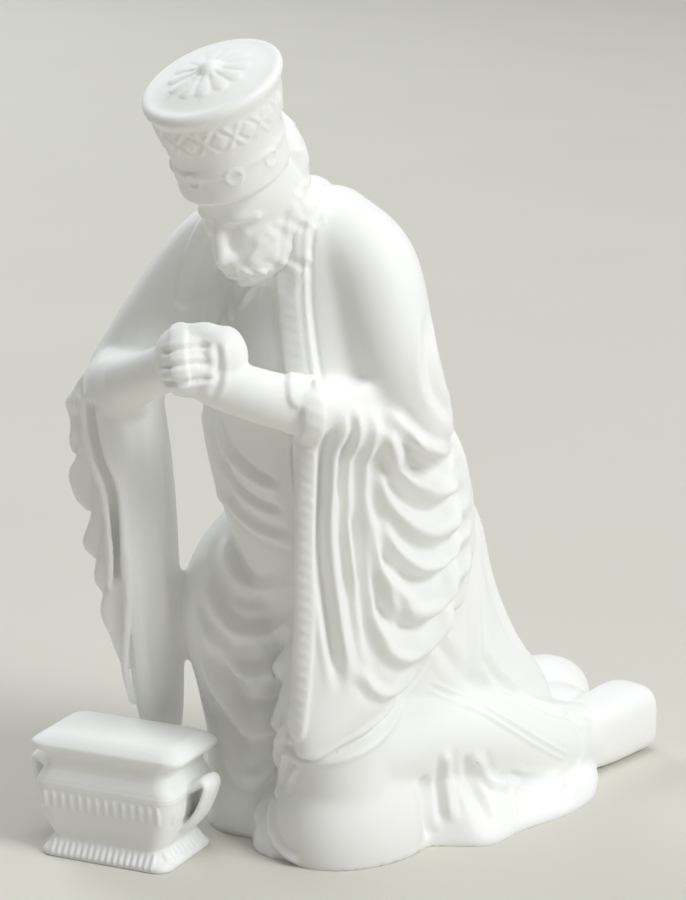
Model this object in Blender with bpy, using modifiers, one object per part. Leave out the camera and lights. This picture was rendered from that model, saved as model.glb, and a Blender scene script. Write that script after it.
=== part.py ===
"""Kneeling wise man figurine with his small lidded casket, slip-cast in unglazed porcelain.

He faces -Y, his left hand is at +X, and the table is at z = 0 under his knees. The figure is a free
form: its masses, pose and folds are given in hundredths of its height, which is measured to the middle
of the hat's top; the tipped rim behind it stands a little higher. The casket has its own sizes.
"""
import math

import bmesh
import bpy
import numpy as np
from mathutils import Matrix, Vector
from mathutils.bvhtree import BVHTree

# Driving dimensions, in metres and degrees
FIGURE_HEIGHT = 0.120
CASKET_LENGTH = 0.0256
CASKET_WIDTH = 0.0157
CASKET_HEIGHT = 0.0192
CASKET_TURN = 16.0
CASKET_CORNER = 0.0021
CASKET_HEM = (-0.02054, -0.02951)
HANDLE_THICKNESS = 0.0015
HANDLE_WIDTH = 0.0052
CLEARANCE = 0.0004
HEAD_BOW = 25.0
HAT_TIP = 3.5

# Fineness of the modelled clay, and the faces that are left on the figure
CLAY_GRAIN = 0.0052
FIGURE_TRIANGLES = 8200

SHARE = FIGURE_HEIGHT / 100


def at(x, y, z):
    """A place given in hundredths of the figure's height."""
    return Vector((x, y, z)) * SHARE


def smooth_rows(rows, steps):
    """More rows between the given ones, on a curve that passes through each of them."""
    rows = np.array(rows, float)
    padded = np.vstack([2 * rows[0] - rows[1], rows, 2 * rows[-1] - rows[-2]])
    result = []
    for i in range(1, len(padded) - 2):
        a, b, c, d = padded[i - 1:i + 3]
        for step in range(steps):
            t = step / steps
            result.append(0.5 * (2 * b + (c - a) * t + (2 * a - 5 * b + 4 * c - d) * t * t
                                 + (3 * b - a - 3 * c + d) * t ** 3))
    result.append(rows[-1])
    return result


def oval(centre, wide, deep, sides=32, square=2.0):
    """Ring of places about a centre, with its half widths as vectors; square above 2 fills its corners."""
    ring = []
    for i in range(sides):
        turn = math.tau * i / sides
        c, s = math.cos(turn), math.sin(turn)
        c = math.copysign(abs(c) ** (2 / square), c)
        s = math.copysign(abs(s) ** (2 / square), s)
        ring.append(centre + wide * c + deep * s)
    return ring


def loft(clay, rings):
    """Closed body through rings of places, flat at both ends."""
    rings = [[clay.verts.new(place) for place in ring] for ring in rings]
    for low, high in zip(rings, rings[1:]):
        for i, vertex in enumerate(low):
            j = (i + 1) % len(low)
            clay.faces.new((vertex, low[j], high[j], high[i]))
    clay.faces.new(rings[0][::-1])
    clay.faces.new(rings[-1])


def ball(clay, centre, radii, frame=Matrix()):
    """Egg-shaped lump; centre and radii are in hundredths, in the frame given."""
    size = Matrix.Diagonal((*[r * SHARE for r in radii], 1))
    place = frame @ Matrix.Translation(at(*centre)) @ size
    lump = bmesh.new()
    bmesh.ops.create_uvsphere(lump, u_segments=28, v_segments=18, radius=1, matrix=place)
    mesh = bpy.data.meshes.new("lump")
    lump.to_mesh(mesh)
    lump.free()
    clay.from_mesh(mesh)
    bpy.data.meshes.remove(mesh)


def limb(clay, stations, frame=Matrix(), steps=5):
    """Round tapering form through stations of x, y, z and radius, with rounded ends."""
    rows = smooth_rows(stations, steps)
    rings = []
    turn = None
    for i, row in enumerate(rows):
        ahead = Vector(rows[min(i + 1, len(rows) - 1)][:3])
        behind = Vector(rows[max(i - 1, 0)][:3])
        if turn is None:
            turn = (ahead - behind).to_track_quat("Z", "Y")
        turn = (turn @ Vector((0, 0, 1))).rotation_difference(ahead - behind) @ turn
        radius = row[3] * SHARE
        wide, deep = turn @ Vector((radius, 0, 0)), turn @ Vector((0, radius, 0))
        rings.append([frame @ place for place in oval(at(*row[:3]), wide, deep, 20)])
    loft(clay, rings)
    for x, y, z, radius in (stations[0], stations[-1]):
        ball(clay, (x, y, z), (radius, radius, radius), frame)


def add_body(clay):
    """Robe from the table to the neck: ovals of height, centre y, half width, half depth."""
    rows = smooth_rows([
        (-3, 9, 12.2, 26), (6, 8.5, 12, 25), (14, 7, 12, 22.5), (22, 2.4, 11.8, 19), (30, -0.8, 11.8, 17.6),
        (38, -3.8, 12.6, 17.6), (46, -8, 13.4, 16), (54, -11.6, 13.8, 13.6), (62, -13.6, 13.8, 11.4),
        (70, -14.2, 13.2, 9.4), (76, -15, 12, 7.6), (80, -16, 9.2, 6.6), (84, -17.6, 6, 5.4)], 4)
    loft(clay, [oval(at(0, y, z), Vector((a, 0, 0)) * SHARE, Vector((0, b, 0)) * SHARE, 40, 2.15)
                for z, y, a, b in rows])


def apron(clay, side, rows, inner):
    """Cloth spread on the table along a side: rows of y, hem, middle and its height, top and its height."""
    rings = []
    for y, hem, middle, fold, top, high in smooth_rows(rows, 4):
        outline = [(inner, -2), (hem - 0.3, -2), (hem, 0), (hem + 0.1, 0.7), (hem - 0.5, 1.5),
                   (middle, fold),
                   (top, high), (inner, high - 1)]
        rings.append([at(side * x, y, z) for x, z in outline])
    loft(clay, rings)


def add_legs(clay):
    """Knees, calves and the robe spread on the table, with the near boot and the covered far foot."""
    limb(clay, [(4.6, -7, 38, 6), (4.8, -13, 28, 7), (5.2, -14, 16, 7.4), (5.4, -13, 4, 7.4)])
    ball(clay, (5.2, -10.4, 3.6), (9.2, 12, 12))
    ball(clay, (0.6, -15.6, 0), (6.2, 6.4, 7))
    limb(clay, [(-7.6, -8.4, 40, 6.8), (-9.4, -14, 31, 8.7), (-9.4, -12.6, 19, 7.9), (-9.2, -11.8, 12, 7.5),
                (-9, -11.8, -2, 7.7)])
    limb(clay, [(6, -10, 13, 7.4), (8.8, 4, 11.6, 7), (9.8, 16, 7.6, 6.2), (10.2, 29, 4.8, 4.6)])
    limb(clay, [(-7, -8, 12, 8), (-8, 14, 8, 8), (-7.5, 30, 5, 6.5)])
    ball(clay, (-5.4, 40, 3.2), (6.2, 11, 6.6))
    ball(clay, (1, 32, 2), (9, 13, 6.6))
    apron(clay, 1, [
        (-13, 12, 11.6, 5, 11, 12), (-9.6, 12.3, 12, 5, 11.4, 12.6), (-6.8, 12.7, 11.9, 3.8, 11.8, 13),
        (-4.3, 15.3, 14, 6.6, 12, 13.8), (-1.4, 18.7, 15.4, 6.8, 12, 13), (1.6, 19.5, 15.4, 3.8, 12.2, 11),
        (4.6, 19.2, 16.6, 5.4, 12.4, 9.6), (8.4, 19.6, 16.2, 2.8, 12.6, 7.8), (13, 20.3, 16.6, 2.8, 13, 6),
        (17.5, 20.2, 17, 3.4, 13, 5), (21.5, 19.1, 16.2, 2.2, 12.8, 4), (26, 16.7, 14.8, 2.6, 12.4, 3.4),
        (29.5, 14.1, 13.2, 1.9, 12, 2.6)], 8)
    apron(clay, -1, [
        (-9, 16, 15.2, 5, 13.6, 11), (-4, 17.4, 15.2, 4, 13.4, 12), (2, 18.8, 16, 5.6, 13, 11.5),
        (8, 18.2, 14.8, 3.4, 12.6, 10), (14, 18.8, 15.6, 4.6, 12, 8.4), (21, 17.8, 14.4, 2.6, 11, 7),
        (28, 16.8, 13.6, 3.4, 9.6, 6), (35, 15, 11.6, 2, 8, 4.6), (40, 12, 9.6, 2, 6.4, 3.6)], 4)
    boot = [(25, 10.2, 4.4, 3.6, 4), (29, 10.4, 4.6, 4, 4.4), (34, 10.5, 4.5, 4.1, 4.6),
            (39, 10.5, 4.8, 4.2, 4.9), (42.2, 10.4, 4.7, 4.1, 4.8), (43.7, 10.3, 4.5, 3.4, 4)]
    loft(clay, [oval(at(x, y, z), Vector((-a, 0, 0)) * SHARE, Vector((0, 0, b)) * SHARE, 28, 3.4)
                for y, x, z, a, b in smooth_rows(boot, 3)])


def add_arms(clay):
    """Shoulders, upper arms under cloth, bare forearms and the two clasped hands."""
    limb(clay, [(4.6, -14.2, 78.8, 5.8), (10.6, -14.2, 75.2, 5.8), (13.8, -14, 66, 5.5),
                (15.4, -11.8, 57, 5.1)])
    limb(clay, [(-5.4, -15.4, 77.8, 5.6), (-11.4, -17.6, 75.2, 5.4), (-15.7, -21.6, 68, 5.2),
                (-19.2, -25.4, 60, 5.1)])
    limb(clay, [(15.4, -11.8, 56, 5), (12.6, -18, 57, 4.4), (11, -21.6, 58.8, 4.2), (10.4, -24, 59.4, 3.6)])
    limb(clay, [(-19.2, -25.4, 59, 5), (-17, -29, 59.2, 4.7), (-15.2, -31, 59.8, 4.2)])
    limb(clay, [(11, -21.4, 58.8, 3.5), (7, -27.4, 60.8, 3.3), (3, -31.6, 62.8, 3.1), (1, -33, 64, 3.1)])
    limb(clay, [(-15.4, -30.6, 60, 3.5), (-10, -32.4, 61.8, 3.1), (-6, -33.4, 63.4, 2.9),
                (-3, -33.8, 64.6, 3)])
    ball(clay, (-1.3, -33.6, 65.5), (4.1, 4.1, 4.4))
    ball(clay, (-0.4, -34.5, 64.6), (3.7, 3.8, 3.5))
    ball(clay, (2.4, -31.4, 66), (3.1, 3.2, 3.7))
    limb(clay, [(2.6, -31.4, 67.6, 1.9), (1.2, -32.6, 68.7, 1.5), (0.1, -33.6, 68.9, 1.2)])


def slab(clay, rows, bow_side):
    """Hanging sleeve: rows of height, front x and y, back x and y, thickness and outward bow."""
    rings = []
    for z, fx, fy, bx, by, thick, bow in smooth_rows(rows, 4):
        front, back = at(fx, fy, z), at(bx, by, z)
        middle, along = (front + back) / 2, (back - front) / 2
        out = Vector((along.y, -along.x, 0)).normalized()
        out = out if out.x * bow_side > 0 else -out
        ring = oval(middle, along, out * thick * SHARE / 2, 36, 2.8)
        for place in ring:
            share = (place - middle).dot(along) / along.length_squared
            place += out * bow * SHARE * (1 - share * share)
        rings.append(ring)
    loft(clay, rings)


def front_left(across, ahead, z):
    """Place seen from the front left: across to the right, ahead towards the eye. Below the elbow the right
    sleeve swings back as it falls, so its places lie further back and a little lower."""
    swing = 9.6 * (max(52 - z, 0) / 36) ** 2
    ahead -= swing
    return 0.7547 * across + 0.6561 * ahead, 0.6561 * across - 0.7547 * ahead, z - 0.25 * swing


def leaf(clay, ahead, thick, rows):
    """Hanging fold that faces the front left: rows of height and the places of its two edges across."""
    rings = []
    for z, left, right in smooth_rows(rows, 3):
        first, second = at(*front_left(left, ahead, z)), at(*front_left(right, ahead, z))
        middle, half = (first + second) / 2, (second - first) / 2
        out = Vector((half.y, -half.x, 0)).normalized()
        rings.append(oval(middle, half, out * thick * SHARE / 2, 20, 2.3))
    loft(clay, rings)


def add_sleeves(clay):
    """Two wide sleeves: the left one rests its tip on the knee, the right one hangs behind the casket."""
    slab(clay, [
        (62.4, 10.2, -24, 13.6, -14, 6, 0), (60.6, 9.8, -25, 14.4, -10, 7, 0.3), (57, 9.2, -25.3, 15, -6,
                                                                                  6.6, 0.7),
        (52, 8.8, -25.5, 15.2, -2.8, 5.8, 1.2), (47, 8.5, -25.5, 15, -0.4, 5.4, 1.6),
        (40, 8.3, -25.3, 14.4, 1.2, 5.2, 1.8), (34, 8, -25.1, 13.8, 0.6, 4.9, 1.8),
        (28, 7.6, -24.8, 12.8, -3, 4.6, 1.6), (23, 7.3, -24.5, 12, -7.6, 4.4, 1.2),
        (18.6, 7.1, -24.2, 10.4, -15.5, 4, 0.7), (15.2, 7, -23.9, 8.2, -20.4, 3, 0.2)], 1)
    rows = []
    for z, front, front_ahead, back, back_ahead, thick, bow in (
            (61, -33.8, 15.1, -28.8, 5.4, 5.4, 0.3), (56, -34.1, 15.7, -28, 4.8, 6.2, 0.5),
            (50.4, -33.5, 15.4, -27.2, 4.5, 6.2, 0.6), (43.3, -32.4, 14.9, -26.6, 4.8, 5.8, 0.5),
            (36, -31.7, 14.5, -26.2, 5.4, 5.2, 0.4), (29, -31.5, 14.3, -25.8, 6.4, 4.6, 0.3),
            (22, -31.3, 14.1, -25.2, 9, 3.8, 0.2), (16, -30.6, 14, -25.2, 11.8, 3.2, 0.1),
            (12, -29.8, 14, -25.8, 13, 1.8, 0)):
        front_x, front_y, low = front_left(front, front_ahead, z)
        back_x, back_y, _ = front_left(back, back_ahead, z)
        rows.append((low, front_x, front_y, back_x, back_y, thick, bow))
    slab(clay, rows, -1)
    for ahead, thick, rows in (
            (6.8, 3, [(59, -35, -31), (54, -36.6, -31), (50, -36.8, -31), (46, -35.6, -31),
                      (42, -33, -31)]),
            (9, 2, [(61, -36, -33), (57, -38.5, -33), (52.2, -38.8, -34), (50.2, -37.9, -36)]),
            (10.4, 2, [(57.3, -37, -33), (50.4, -37.6, -33), (47.2, -38.7, -34), (43.3, -36.4, -35)]),
            (12, 2, [(57.6, -36.3, -32), (47.1, -35.4, -32), (41.4, -36.6, -33), (37.4, -35.5, -34)]),
            (13.6, 2, [(46, -34, -31), (40.2, -34, -31), (35.7, -35, -31), (30.5, -35, -31),
                       (23.4, -32.4, -31)])):
        leaf(clay, ahead, thick, rows)


def add_head(clay):
    """Bowed head with full beard and waved hair, under the tall round hat; front is -y in its own frame."""
    frame = Matrix.Translation(at(0, -22.8, 83.6)) @ Matrix.Rotation(math.radians(HEAD_BOW), 4, "X")
    limb(clay, [(0, -15, 73, 5.4), (0, -18.6, 79, 5)])
    limb(clay, [(-5, -18.8, 78.6, 1.4), (-4, -15, 81.4, 1.7), (0, -13, 83.2, 2), (4, -15, 82.2, 1.8),
                (5.4, -18.8, 79.6, 1.4)])
    ball(clay, (0, 0, 2), (6, 7, 7), frame)
    ball(clay, (0, -2, -2.2), (5.2, 4.9, 5.4), frame)
    ball(clay, (0, -2.6, -4.4), (5, 4.8, 4.4), frame)
    ball(clay, (0, -3.7, -6.1), (3.8, 3.7, 3.1), frame)
    ball(clay, (0, 4.1, 3.6), (5.4, 3.9, 6.6), frame)
    ball(clay, (0, 2.9, -2.2), (5, 3.6, 4.2), frame)
    for side in (-1, 1):
        ball(clay, (side * 4.6, 0.6, -0.8), (1.2, 2.8, 3.6), frame)
        ball(clay, (side * 2.2, -5.5, -0.9), (1.4, 1, 0.9), frame)
        ball(clay, (side * 2.9, -4.3, -2.7), (1.8, 1.5, 1.6), frame)
        limb(clay, [(side * 0.7, -6.4, 0.9, 0.75), (side * 2.6, -6.2, 1.3, 0.8),
                    (side * 4.4, -4.7, 0.9, 0.65)], frame)
        limb(clay, [(side * 0.5, -7.2, -5, 0.75), (side * 2, -6.7, -5.4, 0.75),
                    (side * 3.5, -5.5, -6.5, 0.5)], frame)
        ball(clay, (side * 0.85, -7.3, -3.7), (0.75, 0.9, 0.7), frame)
    limb(clay, [(0, -6.5, 0.6, 0.8), (0, -7.5, -1.6, 0.9), (0, -8, -3.5, 1.1)], frame)
    hat = [(4.2, 6), (4.7, 6.9), (7.6, 6.85), (8, 7.15), (8.6, 7.15), (9, 6.95), (14, 7.95), (14.6, 8.2),
           (15.1, 8.6), (15.6, 8.85), (16.1, 8.9), (16.55, 8.7), (16.8, 8.3), (16.75, 7.4), (16.9, 6.6),
           (17.3, 5), (17.65, 3), (17.85, 1.7), (18.5, 1.3), (18.85, 0.5)]
    tip = math.radians(HAT_TIP)
    deep = Vector((0, math.cos(tip), math.sin(tip)))
    loft(clay, [[frame @ place for place in oval(at(0, 0.105 * (z - 16.2) - 0.5, z),
                                                 Vector((r, 0, 0)) * SHARE,
                                                 deep * r * SHARE, 48)] for z, r in hat])


class Relief:
    """Folds raised and sunk on a skin, gathered as one height for each vertex and pressed in together."""

    def __init__(self, mesh):
        self.mesh = mesh
        count = len(mesh.vertices)
        self.places = np.empty(count * 3)
        self.normals = np.empty(count * 3)
        mesh.vertices.foreach_get("co", self.places)
        mesh.vertex_normals.foreach_get("vector", self.normals)
        self.places = self.places.reshape(-1, 3)
        self.normals = self.normals.reshape(-1, 3)
        self.heights = np.zeros(count)
        skin = bmesh.new()
        skin.from_mesh(mesh)
        self.tree = BVHTree.FromBMesh(skin)
        skin.free()

    def trace(self, bearing, pairs, reach=90):
        """Drops a line drawn on a flat side view, as pairs of across and up, onto the skin seen from there.

        The bearing is 0 from the front, 90 from his left side, 180 from behind and -90 from his right side.
        """
        turn = math.radians(bearing)
        right = Vector((math.cos(turn), math.sin(turn), 0))
        outward = Vector((math.sin(turn), -math.cos(turn), 0))
        found = []
        for across, up in pairs:
            place = (right * across + outward * reach) * SHARE + at(0, 0, up)
            spot, normal, _, _ = self.tree.ray_cast(place, -outward)
            if spot is not None:
                found.append((np.array(spot), np.array(normal)))
        return found

    def near(self, route, reach):
        """Vertices within reach of a route, with their distance and their share of the way along it."""
        spots = np.array([spot for spot, _ in route])
        low, high = spots.min(0) - reach, spots.max(0) + reach
        chosen = np.flatnonzero(((self.places > low) & (self.places < high)).all(1))
        places, normals = self.places[chosen], self.normals[chosen]
        best = np.full(len(chosen), 9.0)
        share = np.zeros(len(chosen))
        for i in range(len(route) - 1):
            start, way = spots[i], spots[i + 1] - spots[i]
            t = np.clip((places - start) @ way / max(way @ way, 1e-12), 0, 1)
            gap = np.linalg.norm(places - start - t[:, None] * way, axis=1)
            closer = (gap < best) & (normals @ route[i][1] > 0.1)
            best[closer] = gap[closer]
            share[closer] = (i + t[closer]) / (len(route) - 1)
        inside = best < reach
        return chosen[inside], best[inside], share[inside]

    def fold(self, route, width, height, fade=0.18):
        """Round ridge with a soft hollow along both sides; a negative height turns it into a crease."""
        if len(route) < 2:
            return
        width, height = width * SHARE, height * SHARE
        chosen, gap, share = self.near(route, 2.4 * width)
        crest = np.exp(-2 * (gap / width) ** 2) - 0.35 * np.exp(-((gap - 1.5 * width) / (0.6 * width)) ** 2)
        ends = np.clip(np.minimum(share, 1 - share) / max(fade, 1e-3), 0, 1)
        self.heights[chosen] += height * crest * ends * ends * (3 - 2 * ends)

    def band(self, route, width, height):
        """Flat raised trim of even width."""
        if len(route) < 2:
            return
        width, height = width * SHARE / 2, height * SHARE
        chosen, gap, _ = self.near(route, 1.3 * width)
        flat = np.clip((1.25 * width - gap) / (0.4 * width), 0, 1)
        self.heights[chosen] = np.maximum(self.heights[chosen],
                                          height) * flat + self.heights[chosen] * (1 - flat)

    def press(self):
        moved = self.places + self.normals * self.heights[:, None]
        self.mesh.vertices.foreach_set("co", moved.ravel())
        self.mesh.update()


def line(*places):
    """Smooth line through a few places of a side view."""
    return smooth_rows(places, 5)


def between(first, last, count):
    """Rows of numbers that pass evenly from the first row to the last."""
    first, last = np.array(first, float), np.array(last, float)
    return [first + (last - first) * i / max(count - 1, 1) for i in range(count)]


def carve_left_sleeve(relief):
    """Pleats behind the trim, swags that hang from the crook of the arm, the trim and the open edge."""
    for places, width, height in (
            (((-24.5, 59.5), (-24.3, 50), (-24, 42), (-22.6, 33), (-20.6, 23)), 0.8, -0.7),
            (((-23.4, 61), (-23.1, 50), (-22.6, 42), (-21, 32), (-19, 24)), 0.9, 0.6),
            (((-20.9, 48), (-20, 43), (-19, 37), (-17.4, 29)), 0.9, -0.7),
            (((-20.2, 60.4), (-19.5, 50), (-17.6, 42), (-14.6, 33), (-12, 28)), 0.9, 0.7),
            (((-19.4, 58.4), (-17.4, 54.6), (-12, 49), (-9, 47.8), (-5.8, 48), (-1, 53)), 1.3, 0.85),
            (((-18.6, 53.4), (-16.6, 48.4), (-9.8, 42.6), (-6, 43), (-0.6, 49.4)), 1.4, 0.9),
            (((-16.6, 40.6), (-13.6, 35), (-10.4, 32.6), (-6.6, 33.2), (-0.2, 41)), 1.5, 0.9),
            (((-17.6, 33.6), (-14.6, 28.4), (-11, 26.6), (-7, 27.8), (-0.8, 35.4)), 1.3, 0.8)):
        relief.fold(relief.trace(90, line(*places)), width, height)
    relief.band(relief.trace(60, line((-16.6, 62.4), (-16.9, 42), (-17.2, 19))), 2.3, 0.4)
    relief.fold(relief.trace(0, line((7.4, 57.4), (7, 38), (6.4, 18))), 0.7, -0.9, 0.06)
    relief.fold(relief.trace(90, line((1, 36), (-3.8, 26), (-8, 20.6), (-15, 17.4), (-22.6, 14.6))), 0.9,
                -1, 0.1)


def carve_right_sleeve(relief):
    """The gap between the two lips of the open edge, the border of the inner face, and folds outside."""
    gap = line((-35.1, 58.6), (-35, 56), (-34.2, 51.4), (-32.9, 47.6), (-32.4, 43.6), (-32.2, 39),
               (-32.4, 34.8))
    relief.fold(relief.trace(41, gap), 0.8, -1, 0.06)
    relief.fold(relief.trace(41, line((-29.2, 60), (-28.8, 52), (-28, 44), (-27.2, 34), (-26.6, 22))), 1.6,
                0.3)
    for across, high in ((26, 56), (27, 48), (26, 40), (25, 32)):
        drop = line((across + 6, high + 2), (across, high - 4), (across - 6, high))
        relief.fold(relief.trace(-90, drop), 1.3, 0.7)


def carve_chest(relief):
    """Lapels from behind the neck, the crossed neck of the inner robe, and the folds down to the knees."""
    relief.band(relief.trace(0, line((6.6, 84), (5.6, 79), (5.1, 73), (4.9, 67), (5.8, 61.5)), 26), 3.4,
                0.5)
    relief.band(relief.trace(0, line((-9, 80), (-10.8, 75), (-11.8, 70), (-12, 66))), 2.4, 0.45)
    relief.fold(relief.trace(0, line((1, 75), (-1, 71.6), (-3.2, 69)), 26), 0.6, 0.5)
    for places in (((-6.4, 73), (-6, 68), (-5, 62)), ((-8.3, 58), (-7, 53), (-5.8, 48), (-5.4, 44)),
                   ((-6.2, 57.4), (-4, 53.4), (0, 50.3), (5, 48.3)), ((-6, 47), (-3, 44.4), (1, 42.6),
                                                                      (5, 42)),
                   ((-9, 40), (-3, 34), (3, 37)), ((-9.6, 35), (-3.4, 28), (2.6, 32)),
                   ((-10, 31), (-4, 22.6), (2, 27)), ((-10.4, 26), (-4.6, 14.4), (1.6, 20)),
                   ((-10.6, 20), (-6, 8), (-1.6, 12))):
        relief.fold(relief.trace(0, line(*places), 30), 1.2, 0.75)


def carve_back(relief):
    """Long folds from the shoulders to the train, and the yoke across the shoulders."""
    for x1, x2, low in between((-9, -11, 12), (9, 11, 16), 6):
        relief.fold(relief.trace(180, line((-x1 * 0.8, 70), (-x1 * 1.1, 44), (-x2 * 1.1, low))), 1.5, 0.7)
    relief.fold(relief.trace(180, line((-11, 76), (0, 73), (11, 76))), 0.6, -0.35)


def carve_skirts(relief):
    """Coat edge over the left knee, and the folds of the robe spread round the table."""
    relief.fold(relief.trace(0, line((3, 18.6), (1, 14.6), (-1.4, 10), (-3.2, 6), (-3.6, 2))), 0.8, 0.7,
                0.1)
    relief.fold(relief.trace(90, line((7, 22.4), (9.6, 18.4), (15.8, 13.6), (22, 10.6), (29, 8.6))), 1,
                -0.6, 0.08)
    for y, high, low in ((-2.6, 10, 1), (3.4, 9, 1), (-6.4, 12, 3)):
        relief.fold(relief.trace(70, line((y + 5.8, high), (y + 5, low))), 1, -0.7)
    for y in (-6, 4, 14, 24):
        relief.fold(relief.trace(-90, line((-y, 20), (-y - 4, 1))), 1.4, 0.8)


def model_figure():
    """All masses as one lump of clay, softened, carved, and reduced to the faceted figure."""
    clay = bmesh.new()
    for add in (add_body, add_legs, add_arms, add_sleeves, add_head):
        add(clay)
    bmesh.ops.recalc_face_normals(clay, faces=clay.faces)
    mesh = bpy.data.meshes.new("wise_man")
    clay.to_mesh(mesh)
    clay.free()
    figure = bpy.data.objects.new("wise_man", mesh)
    bpy.context.scene.collection.objects.link(figure)
    remesh = figure.modifiers.new("fuse", "REMESH")
    remesh.mode = "VOXEL"
    remesh.voxel_size = CLAY_GRAIN * FIGURE_HEIGHT
    soften = figure.modifiers.new("soften", "SMOOTH")
    soften.factor = 0.5
    soften.iterations = 5
    settle(figure)
    relief = Relief(figure.data)
    for carve in (carve_left_sleeve, carve_right_sleeve, carve_chest, carve_back, carve_skirts):
        carve(relief)
    relief.press()
    soften = figure.modifiers.new("soften", "SMOOTH")
    soften.factor = 0.5
    soften.iterations = 2
    settle(figure)
    count = sum(len(face.vertices) - 2 for face in figure.data.polygons)
    reduce = figure.modifiers.new("reduce", "DECIMATE")
    reduce.ratio = FIGURE_TRIANGLES / count
    settle(figure)
    flatten_foot(figure.data)
    return figure


def settle(item):
    """Makes an object's modifiers permanent."""
    bpy.context.view_layer.update()
    ready = item.evaluated_get(bpy.context.evaluated_depsgraph_get())
    mesh = bpy.data.meshes.new_from_object(ready)
    item.modifiers.clear()
    item.data = mesh


def flatten_foot(mesh):
    """Cuts the skin off at the table and closes it with a flat face."""
    skin = bmesh.new()
    skin.from_mesh(mesh)
    every = skin.verts[:] + skin.edges[:] + skin.faces[:]
    bmesh.ops.bisect_plane(skin, geom=every, plane_co=(0, 0, 0), plane_no=(0, 0, 1), clear_inner=True)
    bmesh.ops.remove_doubles(skin, verts=skin.verts, dist=2e-5)
    rim = [edge for edge in skin.edges if edge.is_boundary]
    bmesh.ops.triangle_fill(skin, edges=rim, use_beauty=True)
    bmesh.ops.triangulate(skin, faces=skin.faces)
    bmesh.ops.recalc_face_normals(skin, faces=skin.faces)
    skin.to_mesh(mesh)
    skin.free()


def rounded(length, width, corner, z, sides=5):
    """Rectangle with round corners at a height, as a ring of places."""
    ring = []
    for k, (sx, sy) in enumerate(((1, 1), (-1, 1), (-1, -1), (1, -1))):
        for i in range(sides + 1):
            turn = math.pi / 2 * (k + i / sides)
            ring.append(Vector((sx * (length / 2 - corner) + corner * math.cos(turn),
                                sy * (width / 2 - corner) + corner * math.sin(turn), z)))
    return ring


def model_casket():
    """Flared foot, bulging body with mouldings, and a domed lid; shares of its height, length and width."""
    body = bmesh.new()
    profile = [(0, 0.85, 0.985), (0.02, 0.86, 1), (0.042, 0.855, 0.99), (0.083, 0.8, 0.93),
               (0.125, 0.755, 0.875),
               (0.165, 0.735, 0.85), (0.22, 0.78, 0.885), (0.29, 0.83, 0.925), (0.375, 0.875, 0.955),
               (0.47, 0.905, 0.972), (0.562, 0.92, 0.985), (0.61, 0.92, 0.985), (0.64, 0.9, 0.96),
               (0.677, 0.86, 0.925), (0.72, 0.83, 0.89), (0.76, 0.82, 0.875), (0.8, 0.84, 0.88), (0.833,
                                                                                                  0.9, 0.9),
               (0.865, 0.99, 0.94), (0.896, 1, 0.95), (0.912, 0.99, 0.94), (0.932, 0.955, 0.885), (0.958,
                                                                                                   0.9, 0.8),
               (0.979, 0.84, 0.7), (0.987, 0.8, 0.64), (1, 0.6, 0.45)]
    loft(body, [rounded(CASKET_LENGTH * long, CASKET_WIDTH * wide, CASKET_CORNER, CASKET_HEIGHT * high)
                for high, long, wide in profile])
    mesh = bpy.data.meshes.new("gift_casket")
    body.to_mesh(mesh)
    body.free()
    casket = bpy.data.objects.new("gift_casket", mesh)
    bpy.context.scene.collection.objects.link(casket)
    turn = math.radians(CASKET_TURN)
    inward = Vector((-math.sin(turn), math.cos(turn), 0))
    casket.location = Vector((*CASKET_HEM, 0)) - inward * (CASKET_WIDTH / 2 + CLEARANCE)
    casket.rotation_euler = (0, 0, turn)
    for side in (-1, 1):
        join(casket, model_handle(side))
    return casket


def model_handle(side):
    """Ear-shaped strap at an end of the casket, from its waist up and out to under the lid."""
    curve = bpy.data.curves.new("handle", "CURVE")
    curve.dimensions = "3D"
    curve.bevel_depth = HANDLE_THICKNESS / 2
    curve.bevel_resolution = 1
    curve.use_fill_caps = True
    route = [(0.39, 0.27), (0.46, 0.33), (0.52, 0.44), (0.564, 0.57), (0.58, 0.655), (0.555, 0.692),
             (0.5, 0.64), (0.42, 0.57)]
    points = smooth_rows([(side * x * CASKET_LENGTH, 0, z * CASKET_HEIGHT) for x, z in route], 2)
    spline = curve.splines.new("POLY")
    spline.points.add(len(points) - 1)
    for point, place in zip(spline.points, points):
        point.co = (*place, 1)
    loop = bpy.data.objects.new("handle", curve)
    bpy.context.scene.collection.objects.link(loop)
    bpy.context.view_layer.update()
    mesh = bpy.data.meshes.new_from_object(loop.evaluated_get(bpy.context.evaluated_depsgraph_get()))
    bpy.data.objects.remove(loop, do_unlink=True)
    welded = bmesh.new()
    welded.from_mesh(mesh)
    bmesh.ops.remove_doubles(welded, verts=welded.verts, dist=1e-6)
    bmesh.ops.scale(welded, vec=(1, HANDLE_WIDTH / HANDLE_THICKNESS, 1), verts=welded.verts)
    bmesh.ops.recalc_face_normals(welded, faces=welded.faces)
    welded.to_mesh(mesh)
    welded.free()
    handle = bpy.data.objects.new("handle", mesh)
    bpy.context.scene.collection.objects.link(handle)
    return handle


def join(item, other):
    """Fuses another object, given in the item's own frame, into it."""
    other.matrix_world = item.matrix_basis
    union = item.modifiers.new("join", "BOOLEAN")
    union.operation = "UNION"
    union.object = other
    settle(item)
    bpy.data.objects.remove(other, do_unlink=True)


def porcelain(name):
    material = bpy.data.materials.new(name)
    material.use_nodes = True
    shader = material.node_tree.nodes["Principled BSDF"]
    shader.inputs["Base Color"].default_value = (0.86, 0.85, 0.82, 1)
    shader.inputs["Roughness"].default_value = 0.55
    shader.inputs["Metallic"].default_value = 0
    return material


for old in list(bpy.data.objects):
    bpy.data.objects.remove(old, do_unlink=True)

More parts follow.
